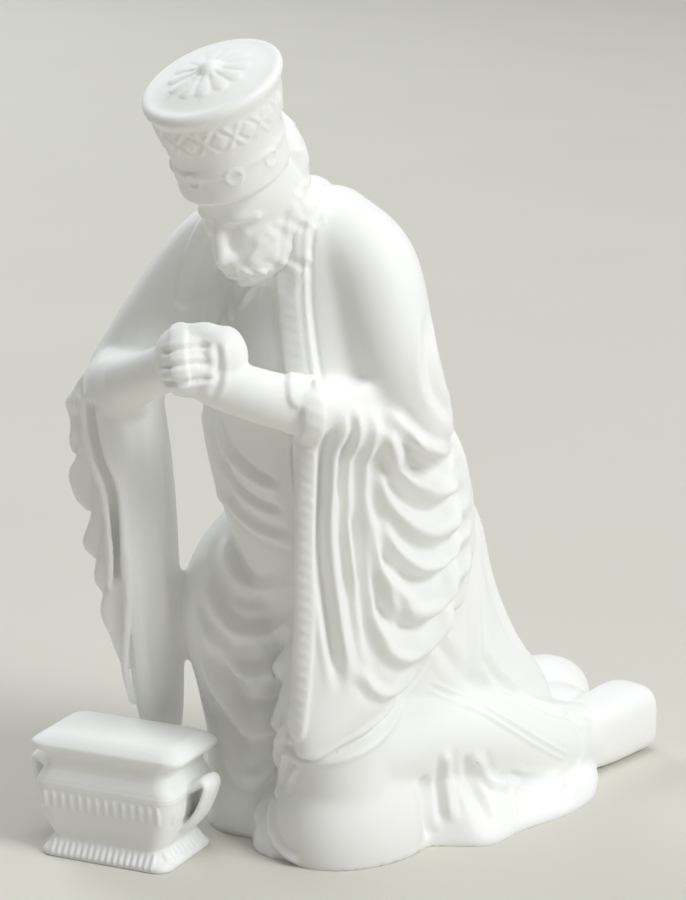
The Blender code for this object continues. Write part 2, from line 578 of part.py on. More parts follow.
collection = bpy.data.collections.new("kneeling_wise_man")
bpy.context.scene.collection.children.link(collection)
for piece in (model_figure(), model_casket()):
    bpy.context.scene.collection.objects.unlink(piece)
    collection.objects.link(piece)
    piece.data.materials.clear()
    piece.data.materials.append(porcelain("bisque_porcelain_" + piece.name))
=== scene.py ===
import math

import bmesh
import bpy
import numpy as np
from mathutils import Matrix, Vector
from mathutils.bvhtree import BVHTree


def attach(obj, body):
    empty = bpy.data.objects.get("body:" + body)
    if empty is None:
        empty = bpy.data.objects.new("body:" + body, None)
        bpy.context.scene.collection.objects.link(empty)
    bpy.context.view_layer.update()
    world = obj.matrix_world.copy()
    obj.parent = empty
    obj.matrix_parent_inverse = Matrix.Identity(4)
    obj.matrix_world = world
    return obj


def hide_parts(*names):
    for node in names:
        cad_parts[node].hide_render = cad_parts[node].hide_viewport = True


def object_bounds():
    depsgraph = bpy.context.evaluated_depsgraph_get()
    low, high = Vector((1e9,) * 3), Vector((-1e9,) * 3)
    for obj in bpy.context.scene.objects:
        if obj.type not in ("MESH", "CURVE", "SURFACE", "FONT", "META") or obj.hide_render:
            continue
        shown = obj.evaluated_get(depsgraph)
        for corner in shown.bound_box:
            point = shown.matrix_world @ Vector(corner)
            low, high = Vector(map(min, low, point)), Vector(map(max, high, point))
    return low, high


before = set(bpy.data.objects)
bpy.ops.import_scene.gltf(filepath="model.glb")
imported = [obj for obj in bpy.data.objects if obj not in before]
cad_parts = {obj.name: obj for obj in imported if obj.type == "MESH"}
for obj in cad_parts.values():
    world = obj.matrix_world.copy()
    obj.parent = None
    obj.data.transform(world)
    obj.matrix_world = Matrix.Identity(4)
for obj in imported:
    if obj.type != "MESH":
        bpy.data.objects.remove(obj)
cad_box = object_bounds()

# The table top that both pieces stand on: one broad sheet of pale warm-grey board, which runs on behind
# them as the backdrop. Large soft lamps hang to his left, behind his right side and overhead, and a low
# fill keeps the shaded side open.
BOARD_SIDE = 6.0
CLOUD_SIZE = 1 / 14


def linear(code):
    """Linear colour with its alpha, from an sRGB hex value."""
    shares = [int(code[i:i + 2], 16) / 255 for i in (1, 3, 5)]
    return (*[c / 12.92 if c <= 0.04045 else ((c + 0.055) / 1.055) ** 2.4 for c in shares], 1)


def add_node(material, kind, settings, links):
    """Adds a node; a setting is a property or an input's value, a link is input: (node, output)."""
    node = material.node_tree.nodes.new(kind)
    for name, value in settings.items():
        if hasattr(node, name):
            setattr(node, name, value)
        else:
            node.inputs[name].default_value = value
    for name, (source, output) in links.items():
        material.node_tree.links.new(source.outputs[output], node.inputs[name])
    return node


def board_paper():
    """Matt coated board: an even colour with the faint cloudiness of its coat, and no gloss."""
    material = bpy.data.materials.new("matt_coated_board")
    material.use_nodes = True
    place = add_node(material, "ShaderNodeTexCoord", {}, {})
    cloud = add_node(material, "ShaderNodeTexNoise", {"Scale": 1 / CLOUD_SIZE, "Detail": 3.0},
                     {"Vector": (place, "Object")})
    tint = add_node(material, "ShaderNodeValToRGB", {}, {"Fac": (cloud, "Fac")})
    tint.color_ramp.elements[0].color = linear("#D3D1C7")
    tint.color_ramp.elements[1].color = linear("#D8D6CD")
    shader = material.node_tree.nodes["Principled BSDF"]
    shader.inputs["Roughness"].default_value = 0.85
    shader.inputs["Specular IOR Level"].default_value = 0.2
    material.node_tree.links.new(tint.outputs["Color"], shader.inputs["Base Color"])
    return material


bpy.ops.object.select_all(action="DESELECT")
bpy.ops.mesh.primitive_plane_add(size=BOARD_SIDE, location=(0, 0, 0))
board = bpy.context.object
board.name = "table_board"
board.data.materials.append(board_paper())

middle = (Vector(cad_box[0]) + Vector(cad_box[1])) / 2


def add_lamp(name, bearing, rise, away, size, power, colour):
    """Square soft lamp that faces the figure; its bearing counts from his front towards his left side."""
    turn, lift = math.radians(bearing), math.radians(rise)
    side = Vector((math.sin(turn) * math.cos(lift), -math.cos(turn) * math.cos(lift), math.sin(lift)))
    data = bpy.data.lights.new(name, "AREA")
    data.size = size
    data.energy = power
    data.color = linear(colour)[:3]
    lamp = bpy.data.objects.new(name, data)
    lamp.location = middle + side * away
    lamp.rotation_euler = side.to_track_quat("Z", "Y").to_euler()
    bpy.context.scene.collection.objects.link(lamp)


add_lamp("key_softbox", 96, 36, 2.4, 1.0, 37.0, "#FBFDFF")
add_lamp("edge_softbox", 255, 28, 1.8, 0.9, 12.0, "#F6FBFF")
add_lamp("overhead_softbox", 60, 82, 2.4, 1.4, 21.0, "#FBFDFF")

world = bpy.data.worlds.new("studio_room")
bpy.context.scene.world = world
world.use_nodes = True
world.node_tree.nodes["Background"].inputs["Color"].default_value = linear("#F4F3EE")
world.node_tree.nodes["Background"].inputs["Strength"].default_value = 0.2
bpy.context.scene.view_settings.view_transform = "Standard"

camera_data = bpy.data.cameras.new("camera")
camera_data.sensor_fit = "VERTICAL"
camera_data.sensor_height = 36
camera_data.lens = 120
camera = bpy.data.objects.new("camera", camera_data)
camera.location = (0.28684, -0.33830, 0.16870)
gaze = Vector((-0.00420, -0.00349, 0.05809)) - camera.location
camera.rotation_euler = gaze.to_track_quat("-Z", "Y").to_euler()
bpy.context.scene.collection.objects.link(camera)
bpy.context.scene.camera = camera

# The casket: a small chest-shaped gift box, slip-cast in one with its lid, foot and two ear handles.
# Its frieze of upright tongues and the flutes of its foot are pressed in the mould.
CASKET_LENGTH = 0.0256
CASKET_WIDTH = 0.0157
CASKET_HEIGHT = 0.0192
CASKET_TURN = 16.0
CASKET_HEM = (-0.02054, -0.02951)
CLEARANCE = 0.0004
HANDLE_THICKNESS = 0.0015
HANDLE_WIDTH = 0.0052
CASKET_CORNER = 0.0023
CASKET_GRAIN = 0.00018
FRIEZE_MARGIN = 0.0011
FRIEZE_RELIEF = 0.00018
TABLE_CUT = 0.00001


def finish_modifiers(item):
    """Applies an object's modifiers in turn, as one would by hand."""
    bpy.ops.object.select_all(action="DESELECT")
    item.select_set(True)
    bpy.context.view_layer.objects.active = item
    for modifier in list(item.modifiers):
        bpy.ops.object.modifier_apply(modifier=modifier.name)


def fuse(parts, name, grain, soften):
    """Joins closed shapes into one skin: a voxel remesh of the given grain, then a light smoothing."""
    bpy.ops.object.select_all(action="DESELECT")
    for part in parts:
        part.select_set(True)
    bpy.context.view_layer.objects.active = parts[0]
    bpy.ops.object.join()
    whole = bpy.context.object
    whole.name = name
    bpy.ops.object.transform_apply(location=True, rotation=True, scale=True)
    remesh = whole.modifiers.new("fuse", "REMESH")
    remesh.mode = "VOXEL"
    remesh.voxel_size = grain
    smooth = whole.modifiers.new("soften", "SMOOTH")
    smooth.factor = 0.5
    smooth.iterations = soften
    finish_modifiers(whole)
    return whole


def new_object(name, mesh):
    item = bpy.data.objects.new(name, mesh)
    bpy.context.scene.collection.objects.link(item)
    return item


def smooth_rows(rows, steps):
    """More rows between the given ones, on a curve that passes through each of them."""
    rows = np.array(rows, float)
    padded = np.vstack([2 * rows[0] - rows[1], rows, 2 * rows[-1] - rows[-2]])
    result = []
    for i in range(1, len(padded) - 2):
        a, b, c, d = padded[i - 1:i + 3]
        for step in range(steps):
            t = step / steps
            result.append(0.5 * (2 * b + (c - a) * t + (2 * a - 5 * b + 4 * c - d) * t * t
                                 + (3 * b - a - 3 * c + d) * t ** 3))
    result.append(rows[-1])
    return result


def grow_casket_body():
    """One round-cornered rectangle, extruded upwards and resized step by step from foot to lid."""
    profile = [
        (0, 0.85, 0.985), (0.02, 0.86, 1), (0.042, 0.855, 0.99), (0.083, 0.79, 0.92), (0.125, 0.745, 0.865),
        (0.151, 0.73, 0.845), (0.165, 0.73, 0.845), (0.22, 0.775, 0.88), (0.29, 0.82, 0.915),
        (0.375, 0.865, 0.945), (0.47, 0.895, 0.962), (0.562, 0.91, 0.97), (0.572, 0.92, 0.98),
        (0.585, 0.91, 0.97), (0.6, 0.92, 0.98), (0.615, 0.91, 0.965), (0.64, 0.895, 0.955),
        (0.677, 0.86, 0.925), (0.72, 0.83, 0.89), (0.76, 0.82, 0.875), (0.8, 0.84, 0.88), (0.833, 0.9, 0.9),
        (0.85, 0.96, 0.925), (0.865, 0.99, 0.94), (0.896, 1, 0.95), (0.912, 0.99, 0.94),
        (0.932, 0.955, 0.885), (0.958, 0.9, 0.8), (0.979, 0.84, 0.7), (0.987, 0.8, 0.64), (0.995, 0.6, 0.45),
        (1, 0.3, 0.2)]
    bpy.ops.object.select_all(action="DESELECT")
    bpy.ops.mesh.primitive_plane_add(size=1, location=(0, 0, 0))
    body = bpy.context.object
    body.scale = (CASKET_LENGTH * profile[0][1], CASKET_WIDTH * profile[0][2], 1)
    bpy.ops.object.transform_apply(location=False, rotation=False, scale=True)
    bpy.ops.object.mode_set(mode="EDIT")
    bpy.ops.mesh.select_all(action="SELECT")
    bpy.ops.mesh.bevel(offset=CASKET_CORNER, segments=8, affect="VERTICES")
    for (low, long, wide), (high, longer, wider) in zip(profile, profile[1:]):
        rise = (high - low) * CASKET_HEIGHT
        bpy.ops.mesh.extrude_region_move(TRANSFORM_OT_translate={"value": (0, 0, rise)})
        bpy.ops.transform.resize(value=(longer / long, wider / wide, 1))
    bpy.ops.mesh.select_all(action="SELECT")
    bpy.ops.mesh.normals_make_consistent(inside=False)
    bpy.ops.object.mode_set(mode="OBJECT")
    return body


def add_bead(place, radii, lean):
    """Small egg-shaped bead, the stuff of tongues and flutes."""
    bpy.ops.object.select_all(action="DESELECT")
    bpy.ops.mesh.primitive_uv_sphere_add(segments=12, ring_count=8, radius=1, location=place, rotation=lean)
    bead = bpy.context.object
    bead.scale = radii
    return bead


def casket_relief():
    """Row of soft tongues under the lid moulding, and flutes down the flared foot."""
    beads = []
    for low, count, end_count, swell, wide, high, tilt in (
            (0.465, 14, 8, (0.893, 0.961), 0.56, 0.074, -0.1), (0.09, 17, 10, (0.79, 0.92), 0.6, 0.07, 0.62)):
        half_long, half_wide = swell[0] * CASKET_LENGTH / 2, swell[1] * CASKET_WIDTH / 2
        for number, side_long, reach, turn in (
                (count, half_long, half_wide, 0), (end_count, half_wide, half_long, 90)):
            room = (side_long - FRIEZE_MARGIN) / number
            for k in range(number):
                for side in (-1, 1):
                    spot = Vector(((k + 0.5 - number / 2) * 2 * room, side * reach, low * CASKET_HEIGHT))
                    spot = Matrix.Rotation(math.radians(turn), 3, "Z") @ spot
                    lean = (side * tilt, 0, math.radians(turn))
                    beads.append(add_bead(spot, (room * wide, FRIEZE_RELIEF, high * CASKET_HEIGHT), lean))
    return beads


def casket_handle(side):
    """Ear-shaped loop at an end, swept along a curve that leaves the waist and comes back under the lid."""
    curve = bpy.data.curves.new("handle", "CURVE")
    curve.dimensions = "3D"
    curve.bevel_depth = HANDLE_THICKNESS / 2
    curve.bevel_resolution = 4
    curve.use_fill_caps = True
    route = [(0.39, 0.27), (0.46, 0.33), (0.52, 0.44), (0.562, 0.57), (0.576, 0.655), (0.552, 0.69),
             (0.5, 0.64), (0.42, 0.57)]
    points = smooth_rows([(side * x * CASKET_LENGTH, 0, z * CASKET_HEIGHT) for x, z in route], 5)
    spline = curve.splines.new("POLY")
    spline.points.add(len(points) - 1)
    for point, place in zip(spline.points, points):
        point.co = (*place, 1)
    loop = new_object("handle", curve)
    bpy.ops.object.select_all(action="DESELECT")
    loop.select_set(True)
    bpy.context.view_layer.objects.active = loop
    bpy.ops.object.convert(target="MESH")
    loop.scale.y = HANDLE_WIDTH / HANDLE_THICKNESS
    return bpy.context.object


def bisque_porcelain(name):
    """Bisque porcelain: a hard white body fired without glaze. Light sinks a little way into it, its surface
    is matt like fine paper, and kiln and mould leave faint clouds and a very fine grain."""
    cloud_size = 0.012
    grain_size = 0.00035
    material = bpy.data.materials.new(name)
    material.use_nodes = True
    shader = material.node_tree.nodes["Principled BSDF"]
    shader.inputs["Subsurface Weight"].default_value = 0.3
    shader.inputs["Subsurface Radius"].default_value = (1.0, 0.95, 0.84)
    shader.inputs["Subsurface Scale"].default_value = 0.0022
    shader.inputs["IOR"].default_value = 1.5
    shader.inputs["Specular IOR Level"].default_value = 0.35
    place = add_node(material, "ShaderNodeTexCoord", {}, {})
    cloud = add_node(material, "ShaderNodeTexNoise", {"Scale": 1 / cloud_size, "Detail": 2.0},
                     {"Vector": (place, "Object")})
    tint = add_node(material, "ShaderNodeValToRGB", {}, {"Fac": (cloud, "Fac")})
    tint.color_ramp.elements[0].color = linear("#F3F4F1")
    tint.color_ramp.elements[1].color = linear("#F8F8F6")
    sheen = add_node(material, "ShaderNodeMapRange", {"To Min": 0.5, "To Max": 0.6},
                     {"Value": (cloud, "Fac")})
    grain = add_node(material, "ShaderNodeTexNoise", {"Scale": 1 / grain_size, "Detail": 3.0},
                     {"Vector": (place, "Object")})
    bump = add_node(material, "ShaderNodeBump", {"Strength": 0.12, "Distance": 0.00004},
                    {"Height": (grain, "Fac")})
    links = material.node_tree.links
    links.new(tint.outputs["Color"], shader.inputs["Base Color"])
    links.new(sheen.outputs["Result"], shader.inputs["Roughness"])
    links.new(bump.outputs["Normal"], shader.inputs["Normal"])
    return material


casket_parts = [grow_casket_body(), *casket_relief(), casket_handle(-1), casket_handle(1)]
casket = fuse(casket_parts, "casket", CASKET_GRAIN, 2)
casket_turn = math.radians(CASKET_TURN)
inward = Vector((-math.sin(casket_turn), math.cos(casket_turn), 0))
casket.location = Vector((*CASKET_HEM, 0)) - inward * (CASKET_WIDTH / 2 + CLEARANCE)
casket.rotation_euler = (0, 0, casket_turn)
bpy.ops.object.transform_apply(location=True, rotation=True, scale=True)
bpy.ops.object.mode_set(mode="EDIT")
bpy.ops.mesh.select_all(action="SELECT")
bpy.ops.mesh.bisect(plane_co=(0, 0, TABLE_CUT), plane_no=(0, 0, 1), use_fill=True, clear_inner=True,
                    threshold=1e-6)
bpy.ops.object.mode_set(mode="OBJECT")
casket.data.materials.clear()
casket.data.materials.append(bisque_porcelain("bisque_porcelain_casket"))
bpy.ops.object.shade_smooth()
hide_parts("gift_casket")
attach(casket, "root")

# The wise man: a kneeling figure, slip-cast in one hollow piece, sponged smooth and fired unglazed. He is
# modelled as a sculptor would: masses of clay put together and softened, folds drawn on them, then the
# trims, beard, hat and fingers cut finer. Places are in hundredths of his height; his left hand is at +X.
FIGURE_HEIGHT = 0.120
SHARE = FIGURE_HEIGHT / 100
HEAD_BOW = 25.0
CLOTH_GRAIN = 0.4
CLOTH_SOFTENING = 22
CLAY_GRAIN = 0.24
CLAY_SOFTENING = 6
FIGURE_TRIANGLES = 195000

head_frame = (Matrix.Translation(Vector((0, -22.8, 83.6)) * SHARE)
              @ Matrix.Rotation(math.radians(HEAD_BOW), 4, "X"))
clay = bmesh.new()
bpy.ops.object.select_all(action="DESELECT")
bpy.ops.mesh.primitive_uv_sphere_add(segments=32, ring_count=20, radius=1, location=(0, 0, 0))
round_lump = bpy.context.object


def at(x, y, z):
    """A place given in hundredths of the figure's height."""
    return Vector((x, y, z)) * SHARE


def oval(centre, wide, deep, sides=40, square=2.0):
    """Ring of places about a centre, with its half widths as vectors; square above 2 fills its corners."""
    ring = []
    for i in range(sides):
        turn = math.tau * i / sides
        c, s = math.cos(turn), math.sin(turn)
        c = math.copysign(abs(c) ** (2 / square), c)
        s = math.copysign(abs(s) ** (2 / square), s)
        ring.append(centre + wide * c + deep * s)
    return ring


def loft(rings):
    """Closed body through rings of places, flat at both ends."""
    rings = [[clay.verts.new(place) for place in ring] for ring in rings]
    for low, high in zip(rings, rings[1:]):
        for i, vertex in enumerate(low):
            j = (i + 1) % len(low)
            clay.faces.new((vertex, low[j], high[j], high[i]))
    clay.faces.new(rings[0][::-1])
    clay.faces.new(rings[-1])


def ball(centre, radii, bench=Matrix()):
    """Egg-shaped lump of clay, in the frame given: a copy of the round one, pressed to its radii."""
    lump = round_lump.data.copy()
    pressed = Matrix.Diagonal((*[r * SHARE for r in radii], 1))
    lump.transform(bench @ Matrix.Translation(at(*centre)) @ pressed)
    clay.from_mesh(lump)
    bpy.data.meshes.remove(lump)


def limb(stations, bench=Matrix(), steps=6):
    """Round tapering roll of clay through stations of x, y, z and radius, with rounded ends."""
    rows = smooth_rows(stations, steps)
    rings = []
    turn = None
    for i, row in enumerate(rows):
        ahead = Vector(rows[min(i + 1, len(rows) - 1)][:3])
        behind = Vector(rows[max(i - 1, 0)][:3])
        if turn is None:
            turn = (ahead - behind).to_track_quat("Z", "Y")
        turn = (turn @ Vector((0, 0, 1))).rotation_difference(ahead - behind) @ turn
        radius = row[3] * SHARE
        wide, deep = turn @ Vector((radius, 0, 0)), turn @ Vector((0, radius, 0))
        rings.append([bench @ place for place in oval(at(*row[:3]), wide, deep, 24)])
    loft(rings)
    for x, y, z, radius in (stations[0], stations[-1]):
        ball((x, y, z), (radius, radius, radius), bench)


def take_clay(name):
    """Turns the gathered clay into an object."""
    bmesh.ops.recalc_face_normals(clay, faces=clay.faces)
    mesh = bpy.data.meshes.new(name)
    clay.to_mesh(mesh)
    clay.free()
    return new_object(name, mesh)


def slab(rows, bow_side):
    """Hanging sleeve: rows of height, front x and y, back x and y, thickness and outward bow."""
    rings = []
    for z, fx, fy, bx, by, thick, bow in smooth_rows(rows, 6):
        front, back = at(fx, fy, z), at(bx, by, z)
        middle, along = (front + back) / 2, (back - front) / 2
        out = Vector((along.y, -along.x, 0)).normalized()
        out = out if out.x * bow_side > 0 else -out
        ring = oval(middle, along, out * thick * SHARE / 2, 48, 2.8)
        for place in ring:
            share = (place - middle).dot(along) / along.length_squared
            place += out * bow * SHARE * (1 - share * share)
        rings.append(ring)
    loft(rings)


def front_left(across, ahead, z):
    """Place seen from the front left: across to the right, ahead towards the eye. Below the elbow the right
    sleeve swings back as it falls, so its places lie further back and a little lower."""
    swing = 9.6 * (max(52 - z, 0) / 36) ** 2
    ahead -= swing
    return 0.7547 * across + 0.6561 * ahead, 0.6561 * across - 0.7547 * ahead, z - 0.25 * swing


def leaf(ahead, thick, rows):
    """Hanging fold of cloth that faces the front left: rows of height and its two edges across."""
    rings = []
    for z, left, right in smooth_rows(rows, 4):
        first, second = at(*front_left(left, ahead, z)), at(*front_left(right, ahead, z))
        middle, half = (first + second) / 2, (second - first) / 2
        out = Vector((half.y, -half.x, 0)).normalized()
        rings.append(oval(middle, half, out * thick * SHARE / 2, 24, 2.3))
    loft(rings)


def apron(side, rows, inner):
    """Cloth spread on the table along a side: rows of y, hem, middle and its height, top and its height."""
    rings = []
    for y, hem, middle, fold, top, high in smooth_rows(rows, 5):
        outline = [(inner, -2), (hem - 0.3, -2), (hem, 0), (hem + 0.1, 0.7), (hem - 0.5, 1.5), (middle, fold),
                   (top, high), (inner, high - 1)]
        rings.append([at(side * x, y, z) for x, z in outline])
    loft(rings)


# Robe from the table to the neck: ovals of height, centre y, half width and half depth
ROBE = [(-3, 9, 12.2, 26), (6, 8.5, 12, 25), (14, 7, 12, 22.5), (22, 2.4, 11.8, 19),
        (30, -0.8, 11.8, 17.6), (38, -3.8, 12.6, 17.6), (46, -8, 13.4, 16), (54, -11.6, 13.8, 13.6),
        (62, -13.6, 13.8, 11.4), (70, -14.2, 13.2, 9.4), (76, -15, 12, 7.6), (80, -16, 9.2, 6.6),
        (84, -17.6, 6, 5.4)]
loft([oval(at(0, y, z), Vector((a, 0, 0)) * SHARE, Vector((0, b, 0)) * SHARE, 56, 2.15)
      for z, y, a, b in smooth_rows(ROBE, 5)])

# Knees, calves and the robe spread on the table, with the covered far foot
limb([(4.6, -7, 38, 6), (4.8, -13, 28, 7), (5.2, -14, 16, 7.4), (5.4, -13, 4, 7.4)])
ball((5.2, -10.4, 3.6), (9.2, 12, 12))
ball((0.6, -15.6, 0), (6.2, 6.4, 7))
limb([(-7.6, -8.4, 40, 6.8), (-9.4, -14, 31, 8.7), (-9.4, -12.6, 19, 7.9), (-9.2, -11.8, 12, 7.5),
      (-9, -11.8, -2, 7.7)])
limb([(6, -10, 13, 7.4), (8.8, 4, 11.6, 7), (9.8, 16, 7.6, 6.2), (10.2, 29, 4.8, 4.6)])
limb([(-7, -8, 12, 8), (-8, 14, 8, 8), (-7.5, 30, 5, 6.5)])
ball((-5.4, 40, 3.2), (6.2, 11, 6.6))
ball((1, 32, 2), (9, 13, 6.6))
LEFT_HEM = [(-13, 11.9, 11.6, 5, 11, 12), (-9.6, 12.2, 12, 5, 11.4, 12.6), (-6.8, 12.6, 11.9, 3.8, 11.8, 13),
            (-4.3, 15.2, 14, 6.6, 12, 13.8), (-1.4, 18.6, 15.4, 6.8, 12, 13),
            (1.6, 19.4, 15.4, 3.8, 12.2, 11), (4.6, 19.1, 16.6, 5.4, 12.4, 9.6),
            (8.4, 19.3, 16.2, 2.8, 12.6, 7.8), (13, 19.95, 16.6, 2.8, 13, 6), (17.5, 19.85, 17, 3.4, 13, 5),
            (21.5, 19, 16.2, 2.2, 12.8, 4), (26, 16.6, 14.8, 2.6, 12.4, 3.4), (29.5, 14, 13.2, 1.9, 12, 2.6)]
apron(1, LEFT_HEM, 8)
RIGHT_HEM = [(-9, 16, 15.2, 5, 13.6, 11), (-4, 17.4, 15.2, 4, 13.4, 12), (2, 18.8, 16, 5.6, 13, 11.5),
             (8, 18.2, 14.8, 3.4, 12.6, 10), (14, 18.8, 15.6, 4.6, 12, 8.4), (21, 17.8, 14.4, 2.6, 11, 7),
             (28, 16.8, 13.6, 3.4, 9.6, 6), (35, 15, 11.6, 2, 8, 4.6), (40, 12, 9.6, 2, 6.4, 3.6)]
apron(-1, RIGHT_HEM, 4)

# Shoulders, and the arms under cloth
limb([(4.6, -14.2, 78.8, 5.8), (10.6, -14.2, 75.2, 5.8), (13.8, -14, 66, 5.4), (15.4, -11.8, 57, 4.9)])
limb([(-5.4, -15.4, 77.8, 5.6), (-11.4, -17.6, 75.2, 5.4), (-15.7, -21.6, 68, 5.1), (-19.2, -25.4, 60, 5)])
limb([(15.4, -11.8, 56, 4.9), (12.6, -18, 57, 4.4), (11, -21.6, 58.8, 4.2), (10.4, -24, 59.4, 3.6)])
limb([(-19.2, -25.4, 59, 5), (-17, -29, 59.2, 4.7), (-15.2, -31, 59.8, 4.2)])

# Two wide sleeves: the left one rests its tip on the knee, the right one hangs behind the casket
LEFT_SLEEVE = [(62.4, 10.2, -24, 13.6, -14, 6, 0), (60.6, 9.8, -25, 14.4, -10, 7, 0.3),
               (57, 9.2, -25.3, 15, -6, 6.6, 0.7), (52, 8.8, -25.5, 15.2, -2.8, 5.8, 1.2),
               (47, 8.5, -25.5, 15, -0.4, 5.4, 1.6), (40, 8.3, -25.3, 14.4, 1.2, 5.2, 1.8),
               (34, 8, -25.1, 13.8, 0.6, 4.9, 1.8), (28, 7.6, -24.8, 12.8, -3, 4.6, 1.6),
               (23, 7.3, -24.5, 12, -7.6, 4.4, 1.2), (18.6, 7.1, -24.2, 10.4, -15.5, 4, 0.7),
               (15.2, 7, -23.9, 8.2, -20.4, 3, 0.2)]
slab(LEFT_SLEEVE, 1)
RIGHT_SLEEVE = [(61, -33.8, 15.1, -28.8, 5.4, 5.4, 0.3), (56, -34.1, 15.7, -28, 4.8, 6.2, 0.5),
                (50.4, -33.5, 15.4, -27.2, 4.5, 6.2, 0.6), (43.3, -32.4, 14.9, -26.6, 4.8, 5.8, 0.5),
                (36, -31.7, 14.5, -26.2, 5.4, 5.2, 0.4), (29, -31.5, 14.3, -25.8, 6.4, 4.6, 0.3),
                (22, -31.3, 14.1, -25.2, 9, 3.8, 0.2), (16, -30.6, 14, -25.2, 11.8, 3.2, 0.1),
                (12, -29.8, 14, -25.8, 13, 1.8, 0)]
rows = []
for z, front, front_ahead, back, back_ahead, thick, bow in RIGHT_SLEEVE:
    fx, fy, low = front_left(front, front_ahead, z)
    bx, by, _ = front_left(back, back_ahead, z)
    rows.append((low, fx, fy, bx, by, thick, bow))
slab(rows, -1)

cloth = take_clay("cloth")
cloth = fuse([cloth], "cloth", CLOTH_GRAIN * SHARE, CLOTH_SOFTENING)
clay = bmesh.new()

# Cascade of folds on the outer side of the right sleeve, with the two lips of its open edge
for depth, thick, rows in (
        (6.4, 2, [(58, -34.4, -31), (54, -35.6, -31), (50, -35.8, -31), (46, -34.4, -31), (42, -32.6, -31)]),
        (7.8, 1.8, [(60.4, -35.6, -33), (56, -37.2, -33), (52, -37.8, -33), (48, -37, -33),
                    (45, -35.4, -33)]),
        (9, 1.5, [(61, -36, -34), (58.9, -37.8, -34), (57, -38.4, -34), (54.5, -38.55, -34.6),
                  (52.2, -38.55, -35.4), (50.9, -38.3, -36), (50.2, -37.9, -37)]),
        (10.3, 1.5, [(57.3, -37, -34), (53.2, -37, -34), (50.4, -37.5, -34), (48.7, -38.4, -34),
                     (47.2, -38.6, -34.4), (45.9, -38.2, -34.8), (44.5, -37.6, -35), (43.3, -36.4, -35.4)]),
        (11.6, 1.5, [(57.6, -36.3, -33.6), (53.5, -35.9, -33.4), (50.6, -35.5, -33), (47.1, -35.3, -33),
                     (43.9, -35.6, -33),
                     (41.4, -36.4, -33.2), (39.7, -37, -33.4), (38.5, -36.6, -33.6), (37.4, -35.5, -34)]),
        (12.9, 1.5, [(47.9, -34.6, -32.4), (44.3, -34, -32.4), (40.2, -34.5, -32.4), (37.1, -35.4, -32.4),
                     (35.1, -35.6, -32.6), (33.8, -35, -32.8), (32.9, -34.2, -33.2)]),
        (13.8, 1.5, [(45.6, -33.8, -31.8), (40.5, -33.1, -31.8), (35.7, -33.5, -31.8), (32.7, -34.7, -31.8),
                     (30.5, -34.9, -31.8), (27.9, -33.9, -31.6), (25.6, -33.2, -31.6),
                     (23.4, -32.4, -31.6)])):
    leaf(depth, thick, rows)
for depth, radius, places in (
        (14.7, 0.5, [(-35.6, 59), (-35.6, 56.8), (-35, 51.4), (-33.8, 47.1), (-33.2, 43.6), (-33.1, 39.3),
                     (-33.5, 34.8)]),
        (15.3, 0.55, [(-34.3, 60), (-34.4, 56.8), (-33.3, 51.9), (-32, 48.2), (-31.5, 43.8), (-31.2, 39.4),
                      (-31.2, 35), (-31.6, 29.1), (-32, 23.7), (-31.2, 19.4)])):
    limb([(*front_left(across, depth, z), radius) for across, z in places])

# Bare forearms
limb([(11, -21.4, 58.8, 3.5), (7, -27.4, 60.8, 3.3), (3, -31.6, 62.8, 3.1), (1, -33, 64, 3.1)])
limb([(-15.4, -30.6, 60, 3.5), (-10, -32.4, 61.8, 3.1), (-6, -33.4, 63.4, 2.9), (-3, -33.8, 64.6, 3)])

# Boot of the near foot, laid on its instep with the toe end square behind him
SHOE = [(25, 10.2, 4.4, 3.6, 4), (29, 10.4, 4.6, 4, 4.4), (34, 10.5, 4.5, 4.1, 4.6),
        (39, 10.5, 4.8, 4.2, 4.8), (42.1, 10.4, 4.6, 4.1, 4.6), (43.3, 10.3, 4.4, 3.2, 3.7)]
loft([oval(at(x, y, z), Vector((-a, 0, 0)) * SHARE, Vector((0, 0, b)) * SHARE, 36, 3.4)
      for y, x, z, a, b in smooth_rows(SHOE, 4)])

# Clasped hands: one round fist of folded fingers, the back of the left hand behind it, and the thumbs on top
ball((-1.3, -33.4, 65.5), (4, 4, 4.3))
ball((-0.4, -34.2, 64.6), (3.6, 3.6, 3.4))
ball((2.4, -31.4, 66), (3.1, 3.2, 3.7))
limb([(2.6, -31.4, 67.6, 1.9), (1.2, -32.6, 68.7, 1.5), (0.1, -33.6, 68.9, 1.2)])

